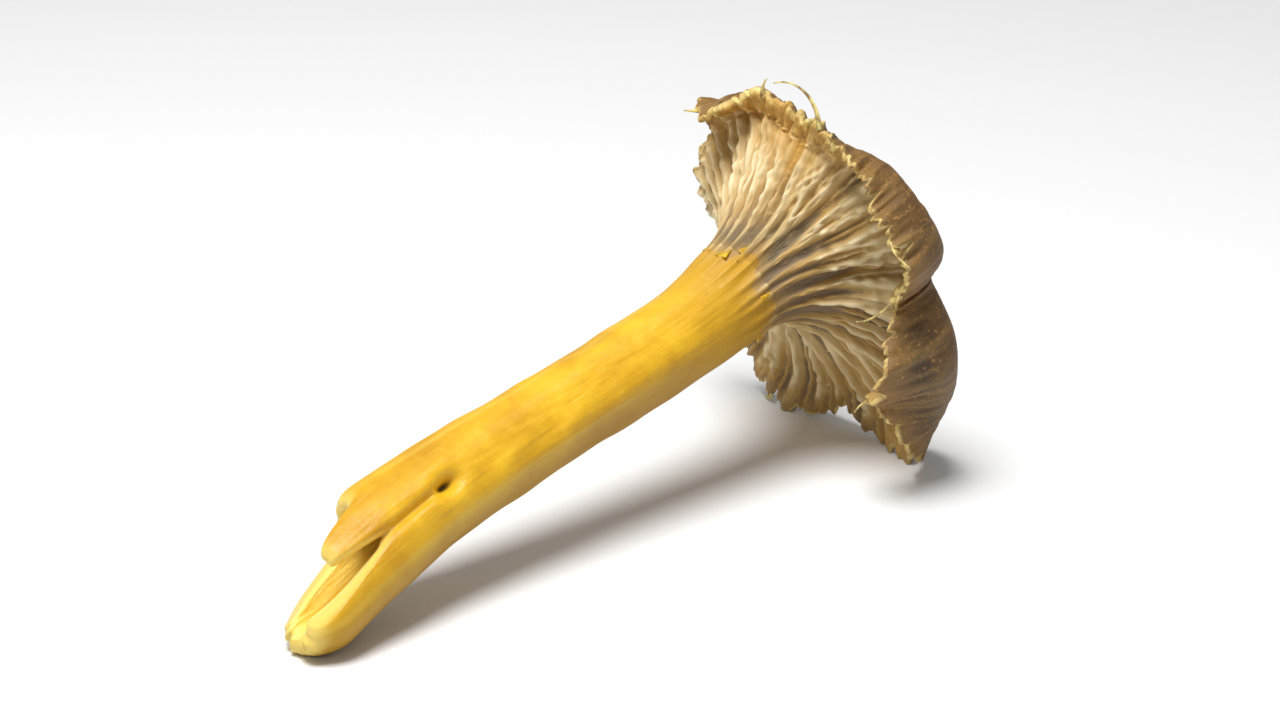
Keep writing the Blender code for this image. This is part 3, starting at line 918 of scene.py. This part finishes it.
def wall_at(wall, bearing, row):
    """A point of the wall, the way on towards the margin, and the way off the cap's upper face."""
    columns = len(wall)
    column = round(bearing * columns / 360) % columns
    place = Vector(wall[column, row])
    out = (place - Vector(wall[column, row - ROWS_BACK])).normalized()
    left = Vector(wall[column - COLUMNS_ASIDE, row])
    right = Vector(wall[(column + COLUMNS_ASIDE) % columns, row])
    return place, out, out.cross((right - left).normalized()).normalized()


def add_strips():
    """The shreds and threads at the margin, and the flakes of skin at the stem's top."""
    outer, _ = bare_wall(SOLID_COLUMNS * 2, ROOT_STEM_ROWS, ROOT_CAP_ROWS)
    wall = laid(outer)
    torn = strip_finish("torn_shred", OLIVE_BROWN, PALE_FLESH)
    gold = strip_finish("skin_flake", OCHRE, GOLD)
    for bearing, length, width, turn, curl in SHREDS:
        place, out, off = wall_at(wall, bearing, -1)
        heading = Matrix.Rotation(math.radians(turn), 3, off) @ out
        place = place - out * SHRED_ROOT
        dress(strip("shred", place, heading, off, (length, width), curl, SHRED_LIFT), [torn])
    for bearing, length, width, curl in FLAKES:
        root = float(skin_end(np.array([bearing]))[0]) - FLAKE_ROOT
        last = len(ROOT_STEM_ROWS) - 1
        place, out, off = wall_at(wall, bearing, min(round(root / STEM_TOP * last), last))
        dress(strip("flake", place, out, off, (length, width), curl, FLAKE_LIFT), [gold])


class Wire:
    """A number in a finish that changes over the surface. Plain operators on it add their Math nodes."""

    def __init__(self, finish, socket):
        self.finish = finish
        self.socket = socket

    def __add__(self, other):
        return self.finish.math("ADD", self, other)

    __radd__ = __add__

    def __mul__(self, other):
        return self.finish.math("MULTIPLY", self, other)

    __rmul__ = __mul__

    def __sub__(self, other):
        return self.finish.math("SUBTRACT", self, other)

    def __rsub__(self, other):
        return self.finish.math("SUBTRACT", other, self)

    def rise(self, low, high):
        """Runs smoothly from 0 to 1 while the number goes from low to high."""
        settings = {"interpolation_type": "SMOOTHSTEP"}
        sockets = {0: self, 1: low, 2: high, 3: 0.0, 4: 1.0}
        return Wire(self.finish, self.finish.node("ShaderNodeMapRange", settings, sockets).outputs[0])


class Finish:
    """A material made node by node round its Principled shader."""

    def __init__(self, name, roughness, subsurface=0.0, specular=0.5):
        self.material = bpy.data.materials.new(name)
        self.material.use_nodes = True
        self.tree = self.material.node_tree
        self.shader = self.tree.nodes["Principled BSDF"].inputs
        self.shader["Roughness"].default_value = roughness
        self.shader["Specular IOR Level"].default_value = specular
        self.shader["Subsurface Weight"].default_value = subsurface
        self.shader["Subsurface Radius"].default_value = FLESH_GLOW
        self.shader["Subsurface Scale"].default_value = FLESH_DEPTH

    def feed(self, socket, value):
        """Links a wire or a node's output to a socket, or sets its plain value."""
        value = value.socket if isinstance(value, Wire) else value
        if isinstance(value, bpy.types.NodeSocket):
            self.tree.links.new(value, socket)
        else:
            socket.default_value = value

    def node(self, kind, settings, sockets):
        """A node of this kind, its settings set first and then its sockets."""
        node = self.tree.nodes.new(kind)
        for name, value in settings.items():
            setattr(node, name, value)
        for key, value in sockets.items():
            self.feed(node.inputs[key], value)
        return node

    def math(self, operation, first, second):
        """The wire that a Math node with this operation gives."""
        node = self.node("ShaderNodeMath", {"operation": operation}, {0: first, 1: second})
        return Wire(self, node.outputs[0])

    def read(self, name):
        """A number that the piece carries at each point."""
        return Wire(self, self.node("ShaderNodeAttribute", {"attribute_name": name}, {}).outputs["Fac"])

    def places(self, squeezed):
        """Points to lay a pattern on: the piece's own, or along the grain of its flesh, squeezed that way."""
        if squeezed is None:
            return self.node("ShaderNodeTexCoord", {}, {}).outputs["Object"]
        grain = self.node("ShaderNodeAttribute", {"attribute_name": "grain"}, {}).outputs["Vector"]
        sockets = {0: grain, 1: (1, 1, squeezed)}
        return self.node("ShaderNodeVectorMath", {"operation": "MULTIPLY"}, sockets).outputs[0]

    def noise(self, scale, detail=4, squeezed=None, distortion=0.0):
        """A cloudy pattern from 0 to 1, with scale patches to the metre, or fibres where it is squeezed."""
        sockets = {
            "Vector": self.places(squeezed),
            "Scale": scale,
            "Detail": detail,
            "Roughness": PATTERN_CRISPNESS,
            "Distortion": distortion,
        }
        return Wire(self, self.node("ShaderNodeTexNoise", {}, sockets).outputs[0])

    def mix(self, share, first, second):
        """The first colour where share is 0 and the second where it is 1."""
        sockets = {0: share, 6: first, 7: second}
        return self.node("ShaderNodeMix", {"data_type": "RGBA"}, sockets).outputs[2]

    def layered(self, base, *layers):
        """Further colours over a base, each with the share of it that shows."""
        for share, colour in layers:
            base = self.mix(share, base, colour)
        return base

    def coloured(self, colour):
        """Gives the surface this colour."""
        self.feed(self.shader["Base Color"], colour)

    def rough(self, amount):
        """Makes the surface duller where amount is larger."""
        self.feed(self.shader["Roughness"], amount)

    def bumped(self, height, depth):
        """Relief too fine to model: height from 0 to 1 stands for this depth."""
        node = self.node("ShaderNodeBump", {}, {"Height": height, "Distance": depth})
        self.feed(self.shader["Normal"], node.outputs[0])


def shown(colour):
    """A colour given as a screen shows it, from 0 to 255, as linear light."""
    linear = [((c / 255 + 0.055) / 1.055) ** 2.4 if c > 10 else c / 255 / 12.92 for c in colour]
    return (*linear, 1)


GOLD = shown((234, 186, 38))
DEEP_GOLD = shown((198, 144, 20))
OLIVE_GOLD = shown((150, 110, 12))
OCHRE = shown((184, 138, 40))
STRAW = shown((250, 226, 120))
PALE_FLESH = shown((232, 210, 134))
TORN_FLESH = shown((250, 226, 124))
# Painted highlight colour for the tops of the ridges
CREST_HIGHLIGHT = shown((238, 222, 180))
CREAM = shown((208, 184, 132))
TAN = shown((184, 146, 76))
MAUVE = shown((134, 112, 84))
GREY = shown((104, 92, 68))
UMBER = shown((60, 41, 18))
BROWN = shown((104, 71, 30))
OLIVE_BROWN = shown((126, 99, 52))
FLECK = shown((176, 132, 64))


# In the finishes, rise() gives the readings between which a colour comes in, and the factor its strength


def fray(finish, distance):
    """A distance in mm along a torn edge, roughened so that the edge frays and flakes."""
    strayed = distance + COARSE_FRAY * finish.noise(420, 3) + FINE_FRAY * finish.noise(1600, 3)
    return strayed - (COARSE_FRAY + FINE_FRAY) / 2


def pale_edge(finish, margin):
    """How much of the margin's torn edge shows pale, in stretches."""
    return margin * finish.noise(260, 3).rise(0.3, 0.6) * 0.85


def golden_skin():
    """The stem's smooth yellow skin, paler at its torn edges, with painted shade along its lower side and in
    its hole, and mauve flesh where the skin ends.
    """
    finish = Finish("golden_skin", 0.4, subsurface=0.08, specular=0.35)
    mottle = finish.noise(120, 4)
    spots = finish.noise(900, 3)
    fibres = finish.noise(1500, 4, squeezed=0.07)
    streaks = finish.noise(420, 3, squeezed=0.05)
    lip = finish.read("from_lip") + spots * 0.9
    torn_edge = fray(finish, finish.read("past_skin"))
    gold = finish.layered(
        finish.mix(mottle.rise(0.3, 0.7), DEEP_GOLD, GOLD),
        (streaks.rise(0.5, 0.8) * 0.3, STRAW),
        (fibres.rise(0.42, 0.2) * 0.18, OLIVE_GOLD),
        (spots.rise(0.68, 0.78) * 0.3, STRAW),
        # Painted shade: olive gold on the stem's downward-facing side
        (finish.read("shade_below").rise(0.25, 0.85) * 0.8, OLIVE_GOLD),
        (finish.read("height").rise(43, 57) * 0.75, OCHRE),
        # Painted shade: umber in the hole, and a little in the deepest part of the groove
        (finish.read("pit_shade").rise(0.5, 1.0) * 0.9, UMBER),
        (lip.rise(2.4, 0.3) * 0.7, TORN_FLESH),
        (torn_edge.rise(-2.5, 0) * 0.45, TAN),
    )
    flesh = finish.mix(finish.read("crest").rise(0.06, 0.26), MAUVE, CREAM)
    flesh = finish.mix(torn_edge.rise(2.5, 0.2) * 0.6, flesh, TAN)
    finish.coloured(finish.mix(torn_edge.rise(-0.3, 0.3), gold, flesh))
    finish.rough(0.32 + 0.2 * spots)
    finish.bumped(fibres * 0.4 + spots * 0.6, 0.00012)
    return finish.material


def hollow_skin():
    """The damp pale-yellow inner face of the hollow stem, with strings of flesh along it, and painted shade
    deeper inside.
    """
    finish = Finish("hollow_skin", 0.5, subsurface=0.3)
    strings = finish.noise(700, 4, squeezed=0.1)
    clots = finish.noise(700, 4)
    torn = (finish.read("from_lip") + clots).rise(2.6, 0.8)
    pale = finish.layered(
        finish.mix(strings.rise(0.2, 0.8), GOLD, STRAW),
        (clots.rise(0.5, 0.75) * 0.5, PALE_FLESH),
        # Painted shade: darker olive gold deeper inside the hollow, away from the lip
        (finish.read("from_lip").rise(8, 18) * 0.8, OLIVE_GOLD),
        (torn * 0.8, TORN_FLESH),
    )
    finish.coloured(pale)
    finish.bumped(strings * 0.4 + clots, 0.0002)
    return finish.material


def ridged_face():
    """The cap's outer face: cream crests with a painted highlight along their tops, mauve-grey valleys,
    golden stains and a pale crisp margin.
    """
    finish = Finish("ridged_face", 0.55, subsurface=0.12)
    stains = finish.noise(110, 4)
    grit = finish.noise(1500, 4)
    grains = finish.noise(3200, 4, squeezed=0.05)
    crest = finish.read("crest") + 0.7 * grains - 0.35
    valley = finish.mix(stains.rise(0.4, 0.62), MAUVE, GREY)
    top = finish.mix(stains.rise(0.42, 0.62), TAN, CREAM)
    stained = finish.read("aged") * stains.rise(0.3, 0.55) * crest.rise(0.9, 0.2)
    outward = finish.read("to_margin")
    golden = finish.noise(75, 3).rise(0.42, 0.6) * outward.rise(14, 3)
    torn_edge = fray(finish, finish.read("past_skin"))
    near = outward + grit * 1.2 - 0.6
    flesh = finish.layered(
        finish.mix(crest.rise(0.1, 0.5), valley, top),
        (crest.rise(0.45, 0.8) * 0.7, CREAM),
        # Painted highlight along the tops of the crests
        (crest.rise(0.75, 1.05) * 0.7, CREST_HIGHLIGHT),
        (grains.rise(0.46, 0.3) * 0.35, GREY),
        (stained * 0.6, FLECK),
        (golden * 0.55, TAN),
        (finish.read("aged") * outward.rise(7, 2) * 0.6, DEEP_GOLD),
        (torn_edge.rise(3.0, 0.4) * 0.55, TAN),
        (torn_edge.rise(0.3, -0.3), OCHRE),
        (near.rise(2.2, 0.4) * 0.45, TAN),
        (pale_edge(finish, near.rise(0.3, 0.0)), PALE_FLESH),
    )
    finish.coloured(flesh)
    finish.rough(0.42 + 0.3 * grit)
    finish.bumped(grains * 0.7 + grit * 0.3, 0.00028)
    return finish.material


def funnel_skin():
    """The cap's upper face: dark olive-brown, finely scaly along its fibres, flecked with gold."""
    finish = Finish("funnel_skin", 0.6, subsurface=0.05)
    clouds = finish.noise(120, 5)
    fibres = finish.noise(3000, 5, squeezed=0.06, distortion=0.4)
    scales = finish.noise(2300, 4)
    outward = finish.read("to_margin")
    near = outward + scales * 1.2 - 0.6
    brown = finish.layered(
        finish.mix(clouds.rise(0.35, 0.65), UMBER, BROWN),
        (fibres.rise(0.4, 0.7) * 0.8, OLIVE_BROWN),
        (fibres.rise(0.42, 0.25) * 0.5, UMBER),
        (scales.rise(0.56, 0.68) * 0.6, FLECK),
        (outward.rise(5, 0.3) * 0.32, FLECK),
        (pale_edge(finish, near.rise(0.35, 0.05)), PALE_FLESH),
    )
    finish.coloured(brown)
    finish.rough(0.48 + 0.3 * scales)
    finish.bumped(fibres * 0.6 + scales * 0.4, 0.0003)
    return finish.material


def strip_finish(name, dark, pale):
    """Thin torn flesh or skin, between a dark and a pale colour."""
    finish = Finish(name, 0.5, subsurface=0.3)
    fibres = finish.noise(900, 4)
    finish.coloured(finish.mix(fibres.rise(0.35, 0.65), dark, pale))
    finish.bumped(fibres, 0.0001)
    return finish.material


def floor_finish():
    """The floor's plain pale paint."""
    finish = Finish("pale_floor", 0.6, specular=0.2)
    finish.coloured(FLOOR_PAINT)
    return finish.material


def add_floor():
    """A plain pale floor that the mushroom lies on."""
    bm = bmesh.new()
    bmesh.ops.create_grid(bm, x_segments=1, y_segments=1, size=FLOOR_SIZE)
    floor = added("floor", meshed("floor", bm))
    floor.data.materials.append(floor_finish())


def aimed(obj, place, target):
    """Puts a lamp or a camera at a place, looking at the target."""
    obj.location = place
    obj.rotation_mode = "QUATERNION"
    obj.rotation_quaternion = (Vector(target) - Vector(place)).to_track_quat("-Z", "Y")


def add_light():
    """Soft light from above and a little to the left, in an evenly bright room."""
    lamp = bpy.data.lights.new("soft_box", "AREA")
    lamp.shape = "DISK"
    lamp.size = LAMP_SIZE
    lamp.energy = LAMP_POWER
    aimed(added("soft_box", lamp), LAMP_PLACE, LAMP_TARGET)
    world = bpy.data.worlds.new("bright_room")
    world.use_nodes = True
    backdrop = world.node_tree.nodes["Background"]
    backdrop.inputs["Color"].default_value = (1, 1, 1, 1)
    backdrop.inputs["Strength"].default_value = ROOM_BRIGHTNESS
    bpy.context.scene.world = world


def add_camera():
    """The photograph's view: from the front left of the stem, a little above it."""
    lens = bpy.data.cameras.new("camera")
    lens.lens = CAMERA_LENS
    lens.clip_start = CAMERA_NEAR
    side = math.radians(CAMERA_BEARING)
    up = math.radians(CAMERA_RISE)
    back = Vector((math.sin(side) * math.cos(up), -math.cos(side) * math.cos(up), math.sin(up)))
    camera = added("camera", lens)
    aimed(camera, Vector(CAMERA_TARGET) + back * CAMERA_REACH, CAMERA_TARGET)
    bpy.context.scene.camera = camera


def dress(piece, finishes):
    """Gives a piece its finishes and its place in the frame."""
    for material in finishes:
        piece.data.materials.append(material)
    piece.data.shade_smooth()
    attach(piece, "root")
    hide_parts("fruiting_body")


dress(stem_piece(), [golden_skin(), hollow_skin()])
dress(cap_piece(), [ridged_face(), funnel_skin()])
add_strips()
add_floor()
add_light()
add_camera()
bpy.context.scene.view_settings.view_transform = "Standard"
